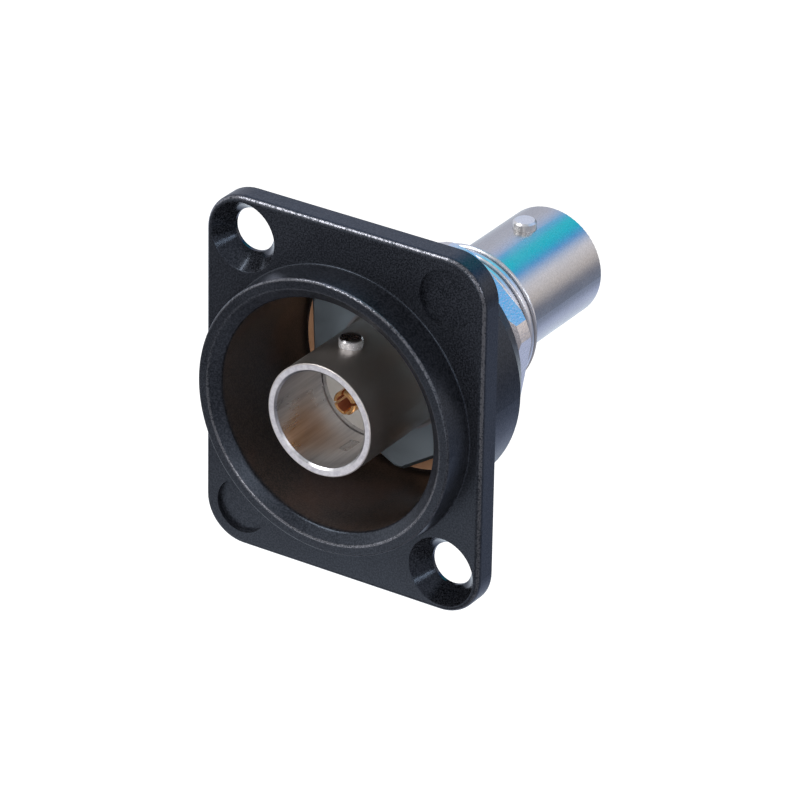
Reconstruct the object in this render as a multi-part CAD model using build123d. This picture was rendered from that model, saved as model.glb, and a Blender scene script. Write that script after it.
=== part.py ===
from build123d import *
import os

os.makedirs("parts", exist_ok=True)

# The frame: the origin is on the socket's axis, in the plane of the flange's rear face.
# +Y runs to the rear, +X is to the right seen from the front, +Z is up. Sizes are in millimetres.

# Flange of the housing
FLANGE_WIDTH = 26.0
FLANGE_HEIGHT = 31.0
FLANGE_THICKNESS = 2.0
FLANGE_CORNER_RADIUS = 3.6
FLANGE_EDGE_RADIUS = 0.45
SCREW_EDGE_DISTANCE = 3.5
SCREW_HOLE_DIAMETER = 3.7
SCREW_SINK_DIAMETER = 6.0
SCREW_SINK_DEPTH = 1.7
BADGE_RECESS_DIAMETER = 5.0
PLAIN_RECESS_DIAMETER = 4.7
RECESS_DEPTH = 0.4

# Collar around the mouth of the pocket
COLLAR_DIAMETER = 23.76
COLLAR_HEIGHT = 2.85
COLLAR_DRAFT = 0.1
COLLAR_FOOT_RADIUS = 0.12
CREST_WIDTH = 0.88
CREST_OUTER_RADIUS = 0.2
CREST_INNER_RADIUS = 0.08
LIP_DEPTH = 0.65
LIP_RADIUS = 0.35
POCKET_MOUTH_DIAMETER = 19.9

# Pocket and body behind the flange
POCKET_FLOOR_DIAMETER = 19.74
POCKET_FLOOR_RADIUS = 0.2
POCKET_DEPTH = 7.9
POCKET_FLOOR_WALL = 1.9
BODY_DIAMETER = 21.6
TAIL_DIAMETER = 18.5
TAIL_LENGTH = 2.6

# Insulating washer in the pocket and insulating bush behind the housing
WASHER_MARGIN = 0.12
WASHER_THICKNESS = 0.4
BUSH_RIM = 2.05
BUSH_THICKNESS = 0.7
SLEEVE_WALL = 0.75
SLEEVE_LENGTH = 0.85

# Turned front shell: barrel, hexagon and shank
BARREL_DIAMETER = 9.65
BARREL_EDGE_RADIUS = 0.08
FRONT_BARREL_LENGTH = 10.85
BARREL_FOOT_RADIUS = 0.25
HEXAGON_RIM = 1.6
HEXAGON_CORNER = 1.0
HEXAGON_THICKNESS = 1.85
HEXAGON_BEVEL = 0.3
HEXAGON_TURN = 32.6
SHANK_DIAMETER = 12.7
SHANK_LENGTH = 9.7
SHANK_END_BEVEL = 0.3
THREAD_DEPTH = 0.55

# Rear barrel, pressed into the shank
REAR_BARREL_LENGTH = 12.0
PRESS_DIAMETER = 10.2
PRESS_LENGTH = 7.7

# Bore of each socket, the same at both ends
BORE_DIAMETER = 8.24
MOUTH_LAND = 0.18
SOCKET_DEPTH = 7.1
GROOVE_DEPTH = 0.2
GROOVE_WIDTH = 0.25
GROOVE_SETBACK = 0.4
INSULATOR_STEP = 0.27

# Bayonet lugs, the same at both ends
LUG_DIAMETER = 1.96
LUG_SPAN = 11.0
LUG_SETBACK = 4.4
LUG_BEVEL = 0.15

# Centre contact
CONTACT_DIAMETER = 2.03
CONTACT_SETBACK = 3.5
CONTACT_HOLE_DIAMETER = 1.36
CONTACT_HOLE_DEPTH = 5.5
CONTACT_EDGE_BEVEL = 0.1
CONTACT_SLOT_WIDTH = 0.22
CONTACT_SLOT_LENGTH = 4.2
CONTACT_SLOT_TURN = 10.0
CONTACT_COLLAR_DIAMETER = 3.4
CONTACT_COLLAR_LENGTH = 1.2

# Lock washer and nut
LOCK_WASHER_RIM = 1.75
LOCK_WASHER_THICKNESS = 0.5
LOCK_NOTCH_COUNT = 8
LOCK_NOTCH_WIDTH = 1.4
LOCK_NOTCH_DEPTH = 0.75
NUT_RIM = 1.4
NUT_CORNER = 0.8
NUT_THICKNESS = 2.0
NUT_BEVEL = 0.3
NUT_TURN = 20.3

# Clearances, on the radius
FIT_CLEARANCE = 0.02
LOOSE_CLEARANCE = 0.1

# Stations along the axis, from front to rear
flange_front = -FLANGE_THICKNESS
crest = flange_front - COLLAR_HEIGHT
floor = POCKET_DEPTH
tail_end = floor + POCKET_FLOOR_WALL
hexagon_rear = floor - WASHER_THICKNESS
hexagon_front = hexagon_rear - HEXAGON_THICKNESS
front_mouth = hexagon_front - FRONT_BARREL_LENGTH
shank_end = hexagon_rear + SHANK_LENGTH
press_front = shank_end - PRESS_LENGTH
rear_mouth = shank_end + REAR_BARREL_LENGTH
front_face = front_mouth + SOCKET_DEPTH
rear_face = rear_mouth - SOCKET_DEPTH
middle = (front_face + rear_face) / 2
bush_rear = tail_end + BUSH_THICKNESS
nut_front = bush_rear + LOCK_WASHER_THICKNESS
nut_rear = nut_front + NUT_THICKNESS

# Radii that several pieces share
barrel_radius = BARREL_DIAMETER / 2
bore_radius = BORE_DIAMETER / 2
shank_radius = SHANK_DIAMETER / 2
root_radius = shank_radius - THREAD_DEPTH
pocket_insulator_radius = bore_radius + INSULATOR_STEP
insulator_radius = pocket_insulator_radius - FIT_CLEARANCE
press_radius = PRESS_DIAMETER / 2
sleeve_inner = shank_radius + LOOSE_CLEARANCE
sleeve_outer = sleeve_inner + SLEEVE_WALL
floor_hole_radius = sleeve_outer + LOOSE_CLEARANCE
contact_radius = CONTACT_DIAMETER / 2

# Rims outside the shank, and how far the hexagons' turned corners stand past their flats
hexagon_radius = shank_radius + HEXAGON_RIM
hexagon_corner = hexagon_radius + HEXAGON_CORNER
nut_radius = shank_radius + NUT_RIM
nut_corner = nut_radius + NUT_CORNER
bush_radius = shank_radius + BUSH_RIM
lock_washer_radius = shank_radius + LOCK_WASHER_RIM

# Centres of the screw holes and round recesses
screw_x = FLANGE_WIDTH / 2 - SCREW_EDGE_DISTANCE
screw_z = FLANGE_HEIGHT / 2 - SCREW_EDGE_DISTANCE


def turned(points, rounds=()):
    """Revolve (radius, y) points about the axis; rounds holds (point number, fillet radius)."""
    outline = make_face(Polyline(*points, close=True))
    for number, radius in rounds:
        corner = outline.vertices().sort_by_distance(points[number])[0]
        outline = fillet(corner, radius)
    return revolve(outline, Axis.Y)


def ring(inner, outer, front, rear):
    return turned([(inner, front), (outer, front), (outer, rear), (inner, rear)])


def slab(sketch, front, rear):
    """Extrude a sketch, drawn as seen from the front, between two stations."""
    return extrude(Plane.XZ.offset(-rear) * sketch, rear - front)


def screw_hole(x, z):
    """Cutter for a countersunk hole through the flange."""
    hole = SCREW_HOLE_DIAMETER / 2
    sink = SCREW_SINK_DIAMETER / 2
    past = FLANGE_THICKNESS
    points = [
        (0, flange_front - past),
        (sink, flange_front - past),
        (sink, flange_front),
        (hole, flange_front + SCREW_SINK_DEPTH),
        (hole, past),
        (0, past),
    ]
    return Pos(x, 0, z) * turned(points)


def face_recess(x, z, diameter):
    """Cutter for a shallow round recess in the flange's front face."""
    cutter = slab(Circle(diameter / 2), flange_front - RECESS_DEPTH, flange_front + RECESS_DEPTH)
    return Pos(x, 0, z) * cutter


def housing():
    collar = COLLAR_DIAMETER / 2
    crest_outer = collar - COLLAR_DRAFT
    foot = collar + 2 * COLLAR_FOOT_RADIUS
    body = BODY_DIAMETER / 2
    points = [
        (crest_outer - CREST_WIDTH, crest),
        (crest_outer, crest),
        (collar, flange_front),
        (foot, flange_front),
        (foot, 0),
        (body, 0),
        (body, tail_end - TAIL_LENGTH),
        (TAIL_DIAMETER / 2, tail_end),
        (floor_hole_radius, tail_end),
        (floor_hole_radius, floor),
        (POCKET_FLOOR_DIAMETER / 2, floor),
        (POCKET_MOUTH_DIAMETER / 2, crest + LIP_DEPTH),
    ]
    rounds = [
        (0, CREST_INNER_RADIUS),
        (1, CREST_OUTER_RADIUS),
        (2, COLLAR_FOOT_RADIUS),
        (10, POCKET_FLOOR_RADIUS),
        (11, LIP_RADIUS),
    ]
    outline = RectangleRounded(FLANGE_WIDTH, FLANGE_HEIGHT, FLANGE_CORNER_RADIUS)
    flange = slab(outline, flange_front, 0)
    front_edges = flange.faces().sort_by(Axis.Y)[0].edges()
    flange = fillet(front_edges, FLANGE_EDGE_RADIUS)
    inside_wall = (POCKET_MOUTH_DIAMETER + COLLAR_DIAMETER) / 4
    flange -= slab(Circle(inside_wall), flange_front, 0)
    shape = flange + turned(points, rounds)
    shape -= screw_hole(-screw_x, screw_z)
    shape -= screw_hole(screw_x, -screw_z)
    shape -= face_recess(screw_x, screw_z, BADGE_RECESS_DIAMETER)
    shape -= face_recess(-screw_x, -screw_z, PLAIN_RECESS_DIAMETER)
    return shape


def insulating_washer():
    """Washer on the pocket's floor, with a short sleeve into the floor's hole."""
    outer = POCKET_FLOOR_DIAMETER / 2 - POCKET_FLOOR_RADIUS - WASHER_MARGIN
    points = [
        (sleeve_inner, hexagon_rear),
        (outer, hexagon_rear),
        (outer, floor),
        (sleeve_outer, floor),
        (sleeve_outer, floor + SLEEVE_LENGTH),
        (sleeve_inner, floor + SLEEVE_LENGTH),
    ]
    return turned(points)


def insulating_bush():
    """Bush behind the housing, with a short sleeve into the floor's hole."""
    points = [
        (sleeve_inner, tail_end - SLEEVE_LENGTH),
        (sleeve_outer, tail_end - SLEEVE_LENGTH),
        (sleeve_outer, tail_end),
        (bush_radius, tail_end),
        (bush_radius, bush_rear),
        (sleeve_inner, bush_rear),
    ]
    return turned(points)


def lock_washer():
    inner = sleeve_inner
    shape = ring(inner, lock_washer_radius, bush_rear, nut_front)
    reach = inner + LOCK_NOTCH_DEPTH
    notch = Pos(reach / 2, 0) * Rectangle(reach, LOCK_NOTCH_WIDTH)
    for number in range(LOCK_NOTCH_COUNT):
        angle = 360 / LOCK_NOTCH_COUNT * number
        shape -= slab(Rot(0, 0, angle) * notch, bush_rear, nut_front)
    return shape


def hexagon(inner_radius, turn):
    return RegularPolygon(inner_radius, 6, major_radius=False, rotation=turn)


def hex_nut():
    bore = root_radius + LOOSE_CLEARANCE
    shape = slab(hexagon(nut_radius, NUT_TURN), nut_front, nut_rear)
    envelope = [
        (bore + NUT_BEVEL, nut_front),
        (nut_corner - NUT_BEVEL, nut_front),
        (nut_corner, nut_front + NUT_BEVEL),
        (nut_corner, nut_rear - NUT_BEVEL),
        (nut_corner - NUT_BEVEL, nut_rear),
        (bore + NUT_BEVEL, nut_rear),
        (bore, nut_rear - NUT_BEVEL),
        (bore, nut_front + NUT_BEVEL),
    ]
    return shape & turned(envelope)


def socket_bore(mouth, inward):
    """Cutter for a socket's mouth, bore and groove; inward is +1 for the front, -1 for the rear."""
    past = mouth - inward * MOUTH_LAND
    face = mouth + inward * SOCKET_DEPTH
    groove_inner = face - inward * GROOVE_SETBACK
    groove_outer = groove_inner - inward * GROOVE_WIDTH
    points = [
        (0, past),
        (bore_radius + MOUTH_LAND, past),
        (bore_radius + MOUTH_LAND, mouth),
        (bore_radius, mouth + inward * MOUTH_LAND),
        (bore_radius, groove_outer),
        (bore_radius + GROOVE_DEPTH, groove_outer),
        (bore_radius + GROOVE_DEPTH, groove_inner),
        (bore_radius, groove_inner),
        (bore_radius, face),
        (0, face),
    ]
    return turned(points)


def lug(mouth, inward, side, clearance=0.0):
    """Bayonet lug from the bore's wall outwards; side is +1 for the top, -1 for the bottom."""
    station = mouth + inward * LUG_SETBACK
    foot = bore_radius - clearance
    length = LUG_SPAN / 2 - foot
    pin = Cylinder(LUG_DIAMETER / 2 + clearance, length)
    if not clearance:
        pin = chamfer(pin.faces().sort_by(Axis.Z)[-1].edges(), LUG_BEVEL)
    pin = Pos(0, station, foot + length / 2) * pin
    if side < 0:
        pin = Rot(0, 180, 0) * pin
    return pin


def front_shell():
    points = [
        (0, front_mouth),
        (barrel_radius, front_mouth),
        (barrel_radius, hexagon_front),
        (barrel_radius + 2 * BARREL_FOOT_RADIUS, hexagon_front),
        (barrel_radius + 2 * BARREL_FOOT_RADIUS, hexagon_rear),
        (shank_radius, hexagon_rear),
        (shank_radius, nut_front),
        (root_radius, nut_front),
        (root_radius, shank_end - SHANK_END_BEVEL),
        (root_radius - SHANK_END_BEVEL, shank_end),
        (0, shank_end),
    ]
    shape = turned(points, [(1, BARREL_EDGE_RADIUS), (2, BARREL_FOOT_RADIUS)])
    head = slab(hexagon(hexagon_radius, HEXAGON_TURN), hexagon_front, hexagon_rear)
    head &= ring(0, hexagon_corner, hexagon_front, hexagon_rear)
    head = chamfer(head.faces().sort_by(Axis.Y)[0].edges(), HEXAGON_BEVEL)
    shape += head
    shape -= socket_bore(front_mouth, 1)
    shape -= ring(0, pocket_insulator_radius, front_face, shank_end)
    shape -= ring(0, press_radius + FIT_CLEARANCE, press_front, shank_end)
    for side in (1, -1):
        shape -= lug(front_mouth, 1, side, FIT_CLEARANCE)
    return shape


def rear_barrel():
    points = [
        (0, press_front),
        (press_radius, press_front),
        (press_radius, shank_end),
        (barrel_radius, shank_end),
        (barrel_radius, rear_mouth),
        (0, rear_mouth),
    ]
    shape = turned(points, [(4, BARREL_EDGE_RADIUS)])
    shape -= socket_bore(rear_mouth, -1)
    shape -= ring(0, pocket_insulator_radius, press_front, rear_face)
    for side in (1, -1):
        shape -= lug(rear_mouth, -1, side, FIT_CLEARANCE)
    return shape


def insulator(face, inward):
    """Insulator from a socket's inner face to the middle, where it traps the contact's collar."""
    hole = contact_radius + FIT_CLEARANCE
    collar = CONTACT_COLLAR_DIAMETER / 2 + FIT_CLEARANCE
    shoulder = middle - inward * CONTACT_COLLAR_LENGTH / 2
    points = [
        (hole, face),
        (insulator_radius, face),
        (insulator_radius, middle),
        (collar, middle),
        (collar, shoulder),
        (hole, shoulder),
    ]
    return turned(points)


def centre_contact():
    """Double contact with a collar in the middle, and a slotted hole at each end."""
    front = front_mouth + CONTACT_SETBACK
    rear = rear_mouth - CONTACT_SETBACK
    hole = CONTACT_HOLE_DIAMETER / 2
    shape = ring(0, contact_radius, front, rear)
    collar_front = middle - CONTACT_COLLAR_LENGTH / 2
    collar_rear = middle + CONTACT_COLLAR_LENGTH / 2
    shape = chamfer(shape.edges(), CONTACT_EDGE_BEVEL)
    shape += ring(0, CONTACT_COLLAR_DIAMETER / 2, collar_front, collar_rear)
    for mouth, inward in ((front, 1), (rear, -1)):
        deep = mouth + inward * CONTACT_HOLE_DEPTH
        slotted = mouth + inward * CONTACT_SLOT_LENGTH
        low, high = sorted((mouth, deep))
        shape -= ring(0, hole, low, high)
        low, high = sorted((mouth, slotted))
        for angle in (CONTACT_SLOT_TURN, CONTACT_SLOT_TURN + 90):
            cross = Rectangle(2 * CONTACT_DIAMETER, CONTACT_SLOT_WIDTH)
            shape -= slab(Rot(0, 0, angle) * cross, low, high)
    return shape


pieces = {
    "housing": housing(),
    "insulating_washer": insulating_washer(),
    "insulating_bush": insulating_bush(),
    "lock_washer": lock_washer(),
    "hex_nut": hex_nut(),
    "front_shell": front_shell(),
    "rear_barrel": rear_barrel(),
    "front_lug_top": lug(front_mouth, 1, 1),
    "front_lug_bottom": lug(front_mouth, 1, -1),
    "rear_lug_top": lug(rear_mouth, -1, 1),
    "rear_lug_bottom": lug(rear_mouth, -1, -1),
    "front_insulator": insulator(front_face, 1),
    "rear_insulator": insulator(rear_face, -1),
    "centre_contact": centre_contact(),
}

for name, shape in pieces.items():
    export_step(shape, f"parts/{name}.step")
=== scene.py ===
import bpy
import bmesh
import math
from mathutils import Matrix, Vector

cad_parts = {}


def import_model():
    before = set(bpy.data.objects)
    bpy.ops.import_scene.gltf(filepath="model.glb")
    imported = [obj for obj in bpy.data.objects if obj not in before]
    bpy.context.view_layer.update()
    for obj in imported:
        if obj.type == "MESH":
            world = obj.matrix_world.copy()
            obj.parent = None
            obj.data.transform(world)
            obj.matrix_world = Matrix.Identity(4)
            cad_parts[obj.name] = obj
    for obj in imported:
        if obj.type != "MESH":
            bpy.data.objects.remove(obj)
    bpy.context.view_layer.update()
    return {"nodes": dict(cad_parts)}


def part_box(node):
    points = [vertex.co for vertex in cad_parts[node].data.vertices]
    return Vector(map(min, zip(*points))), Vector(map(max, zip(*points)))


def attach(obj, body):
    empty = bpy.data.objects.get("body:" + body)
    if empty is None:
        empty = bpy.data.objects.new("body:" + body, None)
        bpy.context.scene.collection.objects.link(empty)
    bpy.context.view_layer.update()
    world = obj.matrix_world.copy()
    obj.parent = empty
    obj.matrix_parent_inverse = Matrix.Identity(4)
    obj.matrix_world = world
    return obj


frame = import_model()
NODES = frame["nodes"]
MM = 0.001
SOFT_END = 0.05 * MM


# Node helpers
class Graph:
    """Short calls for building a node tree."""

    def __init__(self, tree):
        self.tree = tree
        tree.nodes.clear()

    def node(self, kind, inputs=None, **settings):
        made = self.tree.nodes.new(kind)
        for key, value in settings.items():
            setattr(made, key, value)
        for key, value in (inputs or {}).items():
            self.feed(made.inputs[key], value)
        return made

    def feed(self, socket, value):
        if isinstance(value, bpy.types.NodeSocket):
            self.tree.links.new(value, socket)
        elif value is not None:
            socket.default_value = value

    def math(self, operation, a, b=None, c=None, clamp=False):
        made = self.node("ShaderNodeMath", operation=operation, use_clamp=clamp)
        for socket, value in zip(made.inputs, (a, b, c)):
            self.feed(socket, value)
        return made.outputs[0]

    def times(self, *values):
        total = values[0]
        for value in values[1:]:
            total = self.math("MULTIPLY", total, value)
        return total

    def highest(self, *values):
        total = values[0]
        for value in values[1:]:
            total = self.math("MAXIMUM", total, value)
        return total

    def mix(self, amount, a, b):
        made = self.node("ShaderNodeMix", data_type="RGBA")
        self.feed(made.inputs[0], amount)
        self.feed(made.inputs[6], a)
        self.feed(made.inputs[7], b)
        return made.outputs[2]

    def mix_number(self, amount, a, b):
        made = self.node("ShaderNodeMix", data_type="FLOAT")
        self.feed(made.inputs[0], amount)
        self.feed(made.inputs[2], a)
        self.feed(made.inputs[3], b)
        return made.outputs[0]

    def span(self, value, low, high, to_low=0.0, to_high=1.0, smooth=True):
        kind = "SMOOTHSTEP" if smooth else "LINEAR"
        made = self.node("ShaderNodeMapRange", {0: value, 1: low, 2: high, 3: to_low, 4: to_high},
                         interpolation_type=kind, clamp=True)
        return made.outputs[0]

    def ramp(self, value, stops):
        made = self.node("ShaderNodeValToRGB", {0: value})
        ramp = made.color_ramp
        while len(ramp.elements) < len(stops):
            ramp.elements.new(0.5)
        for element, (place, colour) in zip(ramp.elements, stops):
            element.position = place
            element.color = (*colour, 1.0)
        return made.outputs[0]

    def noise(self, vector, scale, detail=2.0, rough=0.5):
        made = self.node("ShaderNodeTexNoise", {"Vector": vector, "Scale": scale, "Detail": detail,
                                                "Roughness": rough})
        return made.outputs[0]

    def bump(self, height, strength, distance, normal=None):
        made = self.node("ShaderNodeBump", {"Height": height, "Strength": strength, "Distance": distance})
        self.feed(made.inputs["Normal"], normal)
        return made.outputs[0]


class Finish(Graph):
    """A new material with one Principled shader, and the place's measures on the part."""

    def __init__(self, name, metallic=0.0):
        self.made = bpy.data.materials.new(name)
        self.made.use_nodes = True
        super().__init__(self.made.node_tree)
        out = self.node("ShaderNodeOutputMaterial")
        self.shader = self.node("ShaderNodeBsdfPrincipled")
        self.shader.inputs["Metallic"].default_value = metallic
        self.tree.links.new(self.shader.outputs[0], out.inputs[0])
        self.place = self.node("ShaderNodeTexCoord").outputs["Object"]
        self.x, self.y, self.z = self.node("ShaderNodeSeparateXYZ", {0: self.place}).outputs[:3]
        squares = self.math("ADD", self.times(self.x, self.x), self.times(self.z, self.z))
        self.radius = self.math("SQRT", squares)
        self.rings = self.node("ShaderNodeCombineXYZ", {0: self.radius, 1: self.y, 2: 0.0}).outputs[0]

    def set(self, socket, value):
        self.feed(self.shader.inputs[socket], value)

    def between(self, value, low, high):
        """1 where value lies from low to high, with soft ends."""
        rise = self.span(value, low - SOFT_END, low + SOFT_END)
        fall = self.span(value, high + SOFT_END, high - SOFT_END)
        return self.times(rise, fall)

    def ring_edge(self, radius, y, reach):
        """1 on an edge that runs round the axis, fading out within reach."""
        across = self.math("SUBTRACT", self.radius, radius)
        along = self.math("SUBTRACT", self.y, y)
        squares = self.math("ADD", self.times(across, across), self.times(along, along))
        return self.span(self.math("SQRT", squares), reach, 0.3 * reach)


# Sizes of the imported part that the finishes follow
HOUSING_LOW, HOUSING_HIGH = [Vector(corner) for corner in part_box("housing")]
CREST = HOUSING_LOW.y
SHELL_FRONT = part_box("front_shell")[0][1]
SHELL_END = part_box("front_shell")[1][1]
NUT_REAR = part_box("hex_nut")[1][1]
WASHER_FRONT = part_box("insulating_washer")[0][1]
LUG_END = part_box("front_lug_top")[1][2]
FLANGE_FRONT = -2.0 * MM
FLANGE_CORNER = 3.6 * MM
FLANGE_EDGE = 0.45 * MM
SCREW_X = 9.5 * MM
SCREW_Z = 12.0 * MM
SINK_RADIUS = 3.4 * MM
CREST_OUTER_RADIUS = 11.72 * MM
CREST_INNER_RADIUS = 10.90 * MM
LIP_EDGE_RADIUS = 10.0 * MM
LIP_DEPTH = 0.65 * MM
BARREL_RADIUS = 4.825 * MM
MOUTH_EDGE_RADIUS = 4.30 * MM
HEXAGON_THICKNESS = 1.85 * MM
HEXAGON_FRONT = WASHER_FRONT - HEXAGON_THICKNESS
THREAD_CREST = 6.35 * MM
THREAD_ROOT = 5.80 * MM

# Depths of the bumps
CAST_GRAIN = 0.05 * MM
BRUSHING = 0.03 * MM
PLATE_GRAIN = 0.02 * MM
TURNING_RINGS = 0.012 * MM

# Scales of the noises that several finishes share
GRAIN_SCALE = 5200.0
PATCH_SCALE = 1500.0
CLOUD_SCALE = 420.0


# The measure in flange_edge is -1 radius where the edge's round begins and -0.59 in its middle
# Limits of the rim's mark, which is wear with a painted highlight.
WEAR_AND_HIGHLIGHT_FROM = -0.69 * FLANGE_EDGE
WEAR_AND_HIGHLIGHT_TO = -0.61 * FLANGE_EDGE


def flange_edge(g):
    """1 on the rounded front edge of the flange, from the distance to its rounded outline."""
    half_width = HOUSING_HIGH.x - FLANGE_CORNER
    half_height = HOUSING_HIGH.z - FLANGE_CORNER
    over_x = g.math("SUBTRACT", g.math("ABSOLUTE", g.x), half_width)
    over_z = g.math("SUBTRACT", g.math("ABSOLUTE", g.z), half_height)
    out_x = g.highest(over_x, 0.0)
    out_z = g.highest(over_z, 0.0)
    corner = g.math("SQRT", g.math("ADD", g.times(out_x, out_x), g.times(out_z, out_z)))
    inside = g.math("MINIMUM", g.highest(over_x, over_z), 0.0)
    outline = g.math("SUBTRACT", g.math("ADD", corner, inside), FLANGE_CORNER)
    depth = g.math("ABSOLUTE", g.math("SUBTRACT", g.y, FLANGE_FRONT))
    edge = g.math("SUBTRACT", outline, depth)
    return g.span(edge, WEAR_AND_HIGHLIGHT_FROM, WEAR_AND_HIGHLIGHT_TO)


def screw_sinks(g):
    """1 in the two countersinks, which lie above on the left and below on the right."""
    across = g.math("MULTIPLY_ADD", g.x, g.math("SIGN", g.z), SCREW_X)
    up = g.math("SUBTRACT", g.math("ABSOLUTE", g.z), SCREW_Z)
    from_axis = g.math("SQRT", g.math("ADD", g.times(across, across), g.times(up, up)))
    return g.times(g.span(from_axis, SINK_RADIUS, SINK_RADIUS - 0.2 * MM),
                   g.span(g.y, FLANGE_FRONT + 0.02 * MM, FLANGE_FRONT + 0.10 * MM))


def black_casting():
    g = Finish("black_casting")
    sink = screw_sinks(g)
    grain = g.noise(g.place, 6500.0, 3.0, 0.65)
    cloud = g.noise(g.place, 260.0, 2.0, 0.5)
    speck = g.noise(g.place, 7000.0, 2.0, 0.6)
    fleck = g.span(speck, 0.38, 0.64)
    tone = g.math("MULTIPLY_ADD", fleck, 0.75, g.times(cloud, 0.25))
    outside = g.mix(tone, (0.0000, 0.0000, 0.0000, 1), (0.0300, 0.0320, 0.0400, 1))
    # Painted glow: the pocket's walls are lighter and warmer than the outside, with reddish-brown
    # patches, standing in for warm light reflected inside the recess.
    pocket_painted_glow = g.mix(tone, (0.0200, 0.0150, 0.0130, 1), (0.0700, 0.0520, 0.0440, 1))
    painted_glow_patches = g.span(g.noise(g.place, 170.0, 2.0, 0.5), 0.50, 0.66, 0.0, 0.40)
    pocket_painted_glow = g.mix(painted_glow_patches, pocket_painted_glow, (0.085, 0.044, 0.031, 1))
    in_pocket = g.times(g.span(g.radius, LIP_EDGE_RADIUS + 0.1 * MM, LIP_EDGE_RADIUS),
                        g.span(g.y, CREST + LIP_DEPTH, CREST + LIP_DEPTH + 0.5 * MM),
                        g.span(g.y, WASHER_FRONT + 0.6 * MM, WASHER_FRONT + 0.5 * MM))
    coat = g.mix(in_pocket, outside, pocket_painted_glow)
    # Pale, partly metallic marks on the crest's two edges and the flange's rim: wear, with painted
    # highlight, since each is weighted by height, strongest at the top for the outer crest edge and the
    # rim, and at the bottom for the inner crest edge.
    outer_wear_and_highlight = g.times(g.ring_edge(CREST_OUTER_RADIUS, CREST + 0.06 * MM, 0.20 * MM),
                    g.span(g.z, 3 * MM, 11 * MM, 0.15, 0.90))
    inner_wear_and_highlight = g.times(g.ring_edge(CREST_INNER_RADIUS, CREST, 0.15 * MM),
                    g.span(g.z, 4 * MM, -10 * MM, 0.10, 1.3))
    rim_wear_and_highlight = g.times(flange_edge(g), g.span(g.z, HOUSING_LOW.z, HOUSING_HIGH.z, 0.25, 1.0))
    wear_and_highlight = g.times(g.highest(rim_wear_and_highlight, outer_wear_and_highlight, inner_wear_and_highlight), g.span(speck, 0.30, 0.58))
    g.set("Base Color", g.mix(g.times(wear_and_highlight, 0.45), coat, (0.42, 0.42, 0.46, 1)))
    g.set("Metallic", g.times(wear_and_highlight, 0.7))
    satin = g.mix_number(sink, g.span(cloud, 0.3, 0.7, 0.28, 0.36), 0.15)
    g.set("Roughness", g.mix_number(wear_and_highlight, satin, 0.24))
    g.set("Normal", g.bump(grain, g.mix_number(sink, 0.35, 0.06), CAST_GRAIN))
    g.shader.inputs["Specular IOR Level"].default_value = 0.55
    # Painted reflection: the blue specular tint colours the casting's reflections blue.
    g.shader.inputs["Specular Tint"].default_value = (0.68, 0.80, 1.0, 1)
    return g.made


def nickel(name, tone=(0.66, 0.64, 0.62), rough=0.24, ring=0.25, grain=0.12, metallic=1.0):
    """Nickel plating with fine turning rings and a slight grain."""
    g = Finish(name, metallic)
    cloud = g.noise(g.place, CLOUD_SCALE, 3.0, 0.55)
    fleck = g.span(g.noise(g.place, 6400.0, 2.0, 0.6), 0.3, 0.7)
    darker = tuple(v * 0.78 for v in tone)
    brighter = tuple(v * 1.05 for v in tone)
    shade = g.math("MULTIPLY_ADD", fleck, 0.5, g.times(cloud, 0.5))
    g.set("Base Color", g.mix(shade, (*darker, 1), (*brighter, 1)))
    uneven = g.span(cloud, 0.3, 0.7, 0.85, 1.2)
    g.set("Roughness", g.times(uneven, rough))
    turning = g.bump(g.noise(g.rings, 9000.0, 3.0, 0.6), ring, TURNING_RINGS)
    g.set("Normal", g.bump(g.noise(g.place, GRAIN_SCALE, 2.0, 0.5), grain, PLATE_GRAIN, turning))
    return g.made


def lug_nickel():
    """The front lugs: paler and less metallic round the side as painted highlight, darker on the end and
    on their feet as painted shade, like the bore.
    """
    g = Finish("nickel_front_lug")
    cloud = g.noise(g.place, PATCH_SCALE, 3.0, 0.6)
    reach = g.math("ABSOLUTE", g.z)
    painted_shade_foot = g.span(reach, MOUTH_EDGE_RADIUS, MOUTH_EDGE_RADIUS - 0.1 * MM)
    # Painted shade: the end and the feet are darker; painted highlight: the side is paler and less
    # metallic.
    end = g.highest(g.span(reach, LUG_END - 0.12 * MM, LUG_END - 0.04 * MM), painted_shade_foot)
    painted_lit_side = g.mix(cloud, (0.86, 0.85, 0.86, 1), (0.96, 0.95, 0.97, 1))
    g.set("Base Color", g.mix(end, painted_lit_side, g.mix(cloud, (0.42, 0.41, 0.42, 1), (0.60, 0.59, 0.60, 1))))
    g.set("Metallic", g.mix_number(end, 0.45, 1.0))
    g.set("Roughness", g.span(cloud, 0.3, 0.7, 0.24, 0.32))
    return g.made


def thread_nickel():
    """Bright crests, and roots darkened with painted shade."""
    g = Finish("nickel_thread", 0.9)
    cloud = g.noise(g.place, PATCH_SCALE, 3.0, 0.6)
    crest = g.mix(cloud, (0.74, 0.73, 0.75, 1), (0.90, 0.89, 0.91, 1))
    # Painted shade: the roots between the ridges are dark.
    root = g.mix(cloud, (0.10, 0.10, 0.11, 1), (0.24, 0.23, 0.25, 1))
    above_root = g.span(g.radius, THREAD_ROOT + 0.18 * MM, THREAD_ROOT + 0.50 * MM)
    g.set("Base Color", g.mix(above_root, root, crest))
    g.set("Roughness", g.span(cloud, 0.3, 0.7, 0.28, 0.38))
    g.set("Normal", g.bump(cloud, 0.15, PLATE_GRAIN))
    return g.made


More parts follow.
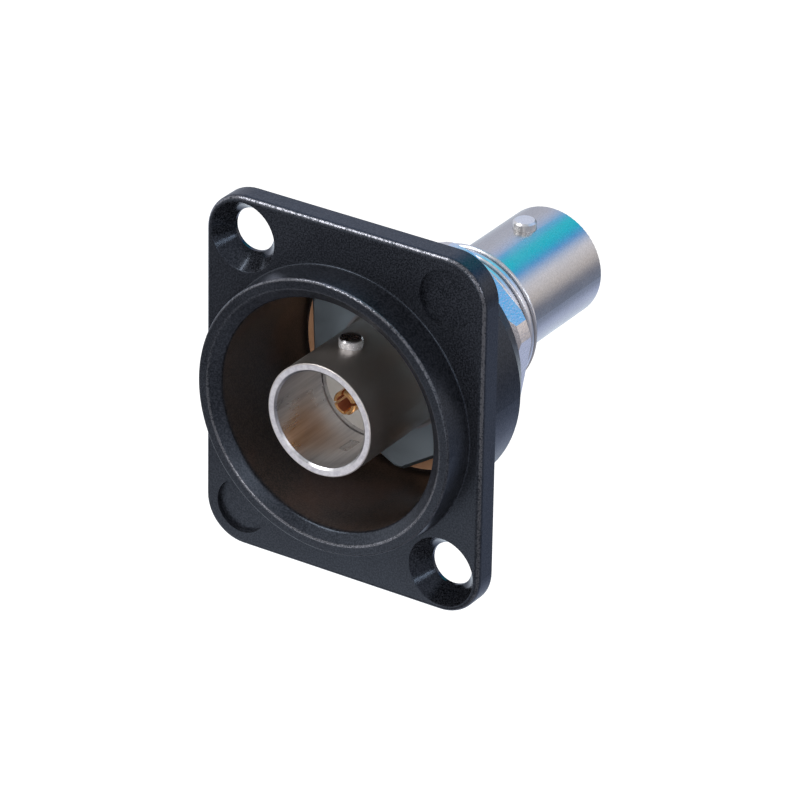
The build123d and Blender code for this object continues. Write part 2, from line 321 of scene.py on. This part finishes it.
def shell_nickel():
    """The front shell: brushed in the bore, with painted shade to the bore's upper left, dull on the
    barrel and hexagon, with a painted highlight on the barrel towards the hexagon, matt on the mouth's
    face.
    """
    g = Finish("nickel_shell", 1.0)
    barrel = g.times(g.span(g.radius, BARREL_RADIUS - 0.15 * MM, BARREL_RADIUS - 0.05 * MM),
                     g.span(g.y, HEXAGON_FRONT, HEXAGON_FRONT - 0.1 * MM))
    hexagon = g.times(g.span(g.radius, BARREL_RADIUS + 0.3 * MM, BARREL_RADIUS + 0.5 * MM),
                      g.between(g.y, HEXAGON_FRONT - 0.1 * MM, WASHER_FRONT))
    mouth = g.times(g.span(g.radius, MOUTH_EDGE_RADIUS - 0.04 * MM, MOUTH_EDGE_RADIUS + 0.02 * MM),
                    g.span(g.y, SHELL_FRONT + 0.06 * MM, SHELL_FRONT + 0.03 * MM))
    bore = g.times(g.span(g.radius, MOUTH_EDGE_RADIUS, MOUTH_EDGE_RADIUS - 0.1 * MM),
                   g.span(g.y, HEXAGON_FRONT + 4 * MM, HEXAGON_FRONT + 3 * MM))
    along = g.node("ShaderNodeCombineXYZ", {0: g.x, 1: g.z, 2: g.times(g.y, 0.06)}).outputs[0]
    streak = g.noise(along, 2600.0, 3.0, 0.65)
    broad = g.noise(along, CLOUD_SCALE, 2.0, 0.5)
    fine_streak = g.span(streak, 0.3, 0.7)
    brushed = g.math("MULTIPLY_ADD", fine_streak, 0.45, g.times(g.span(broad, 0.35, 0.65), 0.55))
    cloud = g.noise(g.place, CLOUD_SCALE, 3.0, 0.55)
    skin = g.mix(cloud, (0.58, 0.56, 0.55, 1), (0.68, 0.66, 0.65, 1))
    skin = g.mix(hexagon, skin, (0.60, 0.69, 0.73, 1))
    skin = g.mix(mouth, skin, g.mix(fine_streak, (0.58, 0.56, 0.61, 1), (0.78, 0.76, 0.80, 1)))
    skin = g.mix(barrel, skin, (0.70, 0.65, 0.61, 1))
    inside = g.mix(brushed, (0.52, 0.52, 0.54, 1), (0.92, 0.91, 0.92, 1))
    # Painted shade: the bore darkens towards its upper left.
    upper_left_painted_shade = g.span(g.math("MULTIPLY_ADD", g.x, -0.7, g.times(g.z, 0.7)), 0.8 * MM, 3.8 * MM, 0.0, 0.75)
    inside = g.mix(upper_left_painted_shade, inside, g.mix(brushed, (0.24, 0.23, 0.25, 1), (0.46, 0.44, 0.46, 1)))
    skin = g.mix(bore, skin, inside)
    g.set("Base Color", skin)
    metal = g.mix_number(mouth, 1.0, 0.35)
    # Painted highlight: less metal towards the hexagon, so the barrel shows paler there.
    barrel_metal_painted_highlight = g.span(g.y, SHELL_FRONT + 2 * MM, HEXAGON_FRONT, 0.95, 0.70)
    g.set("Metallic", g.mix_number(barrel, metal, barrel_metal_painted_highlight))
    rough = g.mix_number(barrel, g.span(brushed, 0.0, 1.0, 0.28, 0.38), 0.33)
    rough = g.mix_number(g.highest(hexagon, mouth), rough, 0.42)
    g.set("Roughness", g.times(g.span(cloud, 0.3, 0.7, 0.9, 1.15), rough))
    turning = g.bump(g.noise(g.rings, GRAIN_SCALE, 3.0, 0.6), 0.35, TURNING_RINGS)
    brushing = g.bump(g.times(streak, bore), 0.3, BRUSHING, turning)
    g.set("Normal", g.bump(g.noise(g.place, GRAIN_SCALE, 2.0, 0.5), 0.12, PLATE_GRAIN, brushing))
    return g.made


def gold():
    g = Finish("gold_plate", 1.0)
    cloud = g.noise(g.place, 900.0, 3.0, 0.6)
    plate = g.mix(cloud, (0.78, 0.36, 0.12, 1), (0.98, 0.60, 0.26, 1))
    # Painted glow: the hole is a diffuse reddish brown, standing in for light bouncing inside the gold
    # socket.
    hole_painted_glow = g.span(g.radius, 0.74 * MM, 0.66 * MM)
    g.set("Base Color", g.mix(hole_painted_glow, plate, (0.46, 0.12, 0.06, 1)))
    g.set("Metallic", g.mix_number(hole_painted_glow, 0.85, 0.1))
    g.set("Roughness", g.span(cloud, 0.3, 0.7, 0.16, 0.28))
    g.set("Normal", g.bump(g.noise(g.place, 5000.0), 0.15, PLATE_GRAIN))
    return g.made


def ptfe():
    g = Finish("insulator_white")
    swirl = g.noise(g.rings, 6000.0, 3.0, 0.6)
    cloud = g.noise(g.place, 800.0, 3.0, 0.6)
    # Painted light: the face round the contact is a darker orange-tan, standing in for warm light falling
    # there.
    plain_tone = g.mix(cloud, (0.70, 0.65, 0.58, 1), (0.86, 0.84, 0.80, 1))
    painted_warm_light = g.mix(swirl, (0.42, 0.21, 0.09, 1), (0.80, 0.50, 0.28, 1))
    g.set("Base Color", g.mix(g.span(g.radius, 3.0 * MM, 1.4 * MM), plain_tone, painted_warm_light))
    g.set("Roughness", g.span(cloud, 0.3, 0.7, 0.30, 0.42))
    g.set("Normal", g.bump(swirl, 0.45, BRUSHING))
    return g.made


def amber():
    g = Finish("brown_insulation")
    cloud = g.noise(g.place, 500.0, 3.0, 0.6)
    g.set("Base Color", g.mix(cloud, (0.52, 0.25, 0.13, 1), (0.82, 0.47, 0.28, 1)))
    g.set("Roughness", g.span(cloud, 0.3, 0.7, 0.26, 0.38))
    g.set("Normal", g.bump(g.noise(g.place, 4200.0), 0.15, BRUSHING))
    return g.made


BLACK = black_casting()
SHELL = shell_nickel()
NICKEL = nickel("nickel_turned")
NICKEL_NUT = nickel("nickel_nut", (0.93, 0.88, 0.85), 0.26, ring=0.0, grain=0.9)
NICKEL_LUG = nickel("nickel_lug", (0.92, 0.91, 0.92), 0.32, ring=0.0, metallic=0.76)
NICKEL_FRONT_LUG = lug_nickel()
NICKEL_THREAD = thread_nickel()
STEEL = nickel("steel_washer", (0.50, 0.50, 0.52), 0.36, ring=0.1)
GOLD = gold()
PTFE = ptfe()
AMBER = amber()

LOOKS = {
    "housing": BLACK,
    "insulating_washer": AMBER,
    "insulating_bush": AMBER,
    "lock_washer": STEEL,
    "hex_nut": NICKEL_NUT,
    "front_shell": SHELL,
    "rear_barrel": NICKEL,
    "front_lug_top": NICKEL_FRONT_LUG,
    "front_lug_bottom": NICKEL_FRONT_LUG,
    "rear_lug_top": NICKEL_LUG,
    "rear_lug_bottom": NICKEL_LUG,
    "front_insulator": PTFE,
    "rear_insulator": PTFE,
    "centre_contact": GOLD,
}
for name, look in LOOKS.items():
    data = NODES[name].data
    data.materials.clear()
    data.materials.append(look)


# The shank's thread, 28 to the inch, turned so that its grooves fall where the photo shows them
PITCH = 25.4 / 28 * MM
START_IN_NUT = 0.8 * MM
FIRST_RIDGE = NUT_REAR - START_IN_NUT
LAST_RIDGE = SHELL_END + 0.24 * PITCH
THREAD_TURN = math.radians(-138)
END_BEVEL_FROM = SHELL_END + 0.24 * MM
STEPS_PER_TURN = 96
RUN_IN_STEPS = 30

# Half of the ridge's section: place along the axis in pitches, and height above the root in ridge heights
HALF_SECTION = [(0.13, 1.0), (0.26, 0.91), (0.37, 0.64), (0.46, 0.10), (0.49, -0.6)]
SECTION = [(-across, up) for across, up in reversed(HALF_SECTION)] + HALF_SECTION


def thread():
    """A right-hand ridge round the shank's core, cut off flat and bevelled at the shank's end."""
    mesh = bmesh.new()
    turns = (LAST_RIDGE - FIRST_RIDGE) / PITCH
    steps = int(turns * STEPS_PER_TURN)
    rows = []
    for step in range(steps + 1):
        angle = 2 * math.pi * turns * step / steps + THREAD_TURN
        middle = FIRST_RIDGE + PITCH * turns * step / steps
        rise = (THREAD_CREST - THREAD_ROOT) * min(1.0, (step + 1) / RUN_IN_STEPS)
        row = []
        for across, up in SECTION:
            y = min(middle + across * PITCH, SHELL_END)
            r = min(THREAD_ROOT + up * rise, THREAD_ROOT + END_BEVEL_FROM - y)
            row.append(mesh.verts.new((r * math.cos(angle), y, -r * math.sin(angle))))
        rows.append(row)
    count = len(SECTION)
    for first, second in zip(rows, rows[1:]):
        for i in range(count):
            j = (i + 1) % count
            mesh.faces.new((first[i], first[j], second[j], second[i]))
    for row in (rows[0], rows[-1]):
        mesh.faces.new(row)
    bmesh.ops.recalc_face_normals(mesh, faces=mesh.faces)
    data = bpy.data.meshes.new("shank_thread")
    mesh.to_mesh(data)
    mesh.free()
    for polygon in data.polygons:
        polygon.use_smooth = True
    data.set_sharp_from_angle(angle=math.radians(40))
    data.materials.append(NICKEL_THREAD)
    made = bpy.data.objects.new("shank_thread", data)
    bpy.context.scene.collection.objects.link(made)
    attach(made, "root")


thread()


# Floor, world, lamps and camera
FLOOR_HEIGHT = -60 * MM
FLOOR_RADIUS = 3.0
FLOOR_GLOW = 0.6


def floor():
    mesh = bmesh.new()
    bmesh.ops.create_circle(mesh, cap_ends=True, radius=FLOOR_RADIUS, segments=96)
    data = bpy.data.meshes.new("floor")
    mesh.to_mesh(data)
    mesh.free()
    made = bpy.data.objects.new("floor", data)
    made.location = (0, 0, FLOOR_HEIGHT)
    bpy.context.scene.collection.objects.link(made)
    look = bpy.data.materials.new("floor_white")
    look.use_nodes = True
    g = Graph(look.node_tree)
    out = g.node("ShaderNodeOutputMaterial")
    path = g.node("ShaderNodeLightPath")
    place = g.node("ShaderNodeTexCoord").outputs["Object"]
    tint = g.mix(g.noise(place, 3.0), (0.80, 0.80, 0.80, 1), (0.84, 0.84, 0.84, 1))
    matt = g.node("ShaderNodeBsdfDiffuse", {"Color": tint}).outputs[0]
    glow = g.node("ShaderNodeEmission", {"Color": (1, 1, 1, 1), "Strength": FLOOR_GLOW}).outputs[0]
    lit = g.node("ShaderNodeAddShader", {0: matt, 1: glow}).outputs[0]
    seen = g.node("ShaderNodeMixShader", {0: path.outputs["Is Camera Ray"], 1: matt, 2: lit}).outputs[0]
    clear = g.node("ShaderNodeBsdfTransparent").outputs[0]
    full = g.node("ShaderNodeMixShader", {0: path.outputs["Is Glossy Ray"], 1: seen, 2: clear}).outputs[0]
    g.tree.links.new(full, out.inputs[0])
    data.materials.append(look)


floor()


def turn(degrees):
    """Place on the ramp of an angle about +Y, from +X towards +Z."""
    return (degrees + 180.0) / 360.0


PLAIN_LIGHT = (0.46, 0.46, 0.46, 1)
WHITE = (1, 1, 1, 1)
END_CARD = (0.10, 0.12, 0.16, 1)


def world():
    """White behind the object, plain light on it, and cards and strips for the metal to reflect."""
    made = bpy.data.worlds.new("studio")
    bpy.context.scene.world = made
    made.use_nodes = True
    made.cycles.sampling_method = "NONE"
    g = Graph(made.node_tree)
    out = g.node("ShaderNodeOutputWorld")
    way = g.node("ShaderNodeTexCoord").outputs["Generated"]
    parts = g.node("ShaderNodeSeparateXYZ", {0: way}).outputs
    angle = g.math("ARCTAN2", parts[2], parts[0])
    place = g.span(angle, -math.pi, math.pi, smooth=False)
    rear = g.ramp(place, [
        (turn(-180), (0.52, 0.55, 0.66)),
        (turn(-130), (0.90, 1.00, 1.10)),
        (turn(-70), (0.52, 0.60, 0.86)),
        (turn(-46), (0.21, 0.26, 0.37)),
        (turn(-20), (0.22, 0.24, 0.32)),
        (turn(2), (0.72, 0.68, 0.68)),
        (turn(32), (0.98, 0.97, 1.05)),
        (turn(44), (0.62, 0.74, 1.02)),
        (turn(58), (0.08, 0.40, 1.00)),
        (turn(74), (0.02, 0.74, 0.98)),
        (turn(94), (0.05, 0.78, 0.96)),
        (turn(106), (0.16, 0.56, 1.10)),
        (turn(120), (0.62, 0.70, 0.98)),
        (turn(140), (0.64, 0.67, 0.80)),
        (turn(180), (0.52, 0.55, 0.66)),
    ])
    end = g.span(parts[1], 0.84, 0.94)
    rear = g.mix(end, rear, END_CARD)
    front = g.ramp(place, [
        (turn(-180), (1.05, 1.07, 1.12)),
        (turn(-168), (0.22, 0.22, 0.24)),
        (turn(-155), (0.13, 0.13, 0.15)),
        (turn(-85), (0.11, 0.11, 0.13)),
        (turn(-70), (0.42, 0.42, 0.46)),
        (turn(-45), (0.20, 0.20, 0.22)),
        (turn(0), (0.28, 0.28, 0.32)),
        (turn(60), (0.42, 0.42, 0.46)),
        (turn(100), (0.36, 0.37, 0.40)),
        (turn(130), (0.20, 0.20, 0.22)),
        (turn(150), (0.40, 0.40, 0.42)),
        (turn(164), (1.05, 1.07, 1.12)),
        (turn(180), (1.05, 1.07, 1.12)),
    ])
    around = g.mix(g.span(parts[1], -0.15, 0.35), front, rear)
    path = g.node("ShaderNodeLightPath")
    colour = g.mix(path.outputs["Is Glossy Ray"], PLAIN_LIGHT, around)
    seen = g.math("ADD", path.outputs["Is Camera Ray"], path.outputs["Is Transmission Ray"], clamp=True)
    colour = g.mix(seen, colour, WHITE)
    light = g.node("ShaderNodeBackground", {"Color": colour, "Strength": 1.0})
    g.tree.links.new(light.outputs[0], out.inputs[0])


world()


SOFTBOX_DISTANCE = 0.30
LOW_CARD_DISTANCE = 0.088
WATTS_PER_RADIANCE = 4


def lamp(name, way, distance, width, height, radiance, colour=(1, 1, 1)):
    """Softbox in direction way from the origin, facing it; radiance is its brightness, 1 being white."""
    data = bpy.data.lights.new(name, "AREA")
    data.shape = "RECTANGLE"
    data.size = width
    data.size_y = height
    data.color = colour
    data.energy = radiance * width * height * WATTS_PER_RADIANCE
    made = bpy.data.objects.new(name, data)
    made.location = Vector(way).normalized() * distance
    made.rotation_euler = made.location.to_track_quat("Z", "Y").to_euler()
    made.visible_camera = False
    bpy.context.scene.collection.objects.link(made)


lamp("key_top", (-0.478, -0.39, 0.79), SOFTBOX_DISTANCE, 0.09, 0.13, 9.0)
lamp("front_soft", (0.15, -1.0, 0.20), SOFTBOX_DISTANCE, 0.10, 0.10, 3.0)
lamp("near_camera", (0.52, -0.67, 0.53), SOFTBOX_DISTANCE, 0.11, 0.11, 1.05)
lamp("fill_right", (0.88, -0.24, 0.37), SOFTBOX_DISTANCE, 0.06, 0.06, 5.0, (0.85, 0.92, 1.0))
lamp("low_card", (-0.42, -0.60, -0.68), LOW_CARD_DISTANCE, 0.07, 0.03, 1.0, (0.92, 0.95, 1.0))


# The photograph's camera, fitted to its edges: angles in radians, and millimetres from the flange's front
YAW = 0.57028
PITCH_DOWN = 0.48277
ROLL = 0.01799
FOCAL_PIXELS = 5940.7
PICTURE_PIXELS = 800
OFFSET = Vector((-4.5713, 0.3972, 466.5617))
SENSOR_WIDTH = 36.0


def camera():
    """The photograph's camera, from its yaw, pitch and roll and the flange's place in the view."""
    forward = Vector((
        -math.sin(YAW) * math.cos(PITCH_DOWN),
        math.cos(YAW) * math.cos(PITCH_DOWN),
        -math.sin(PITCH_DOWN),
    ))
    right = Vector((math.cos(YAW), math.sin(YAW), 0))
    up = right.cross(forward)
    right_rolled = right * math.cos(ROLL) + up * math.sin(ROLL)
    up_rolled = up * math.cos(ROLL) - right * math.sin(ROLL)
    place = -(right_rolled * OFFSET.x - up_rolled * OFFSET.y + forward * OFFSET.z)
    place.y += FLANGE_FRONT / MM
    data = bpy.data.cameras.new("camera")
    data.sensor_width = SENSOR_WIDTH
    data.lens = SENSOR_WIDTH * FOCAL_PIXELS / PICTURE_PIXELS
    data.clip_start = 0.01
    data.clip_end = 20.0
    made = bpy.data.objects.new("camera", data)
    turned = Matrix((right_rolled, up_rolled, -forward)).transposed().to_4x4()
    made.matrix_world = Matrix.Translation(place * MM) @ turned
    bpy.context.scene.collection.objects.link(made)
    bpy.context.scene.camera = made


camera()
bpy.context.scene.view_settings.view_transform = "Standard"
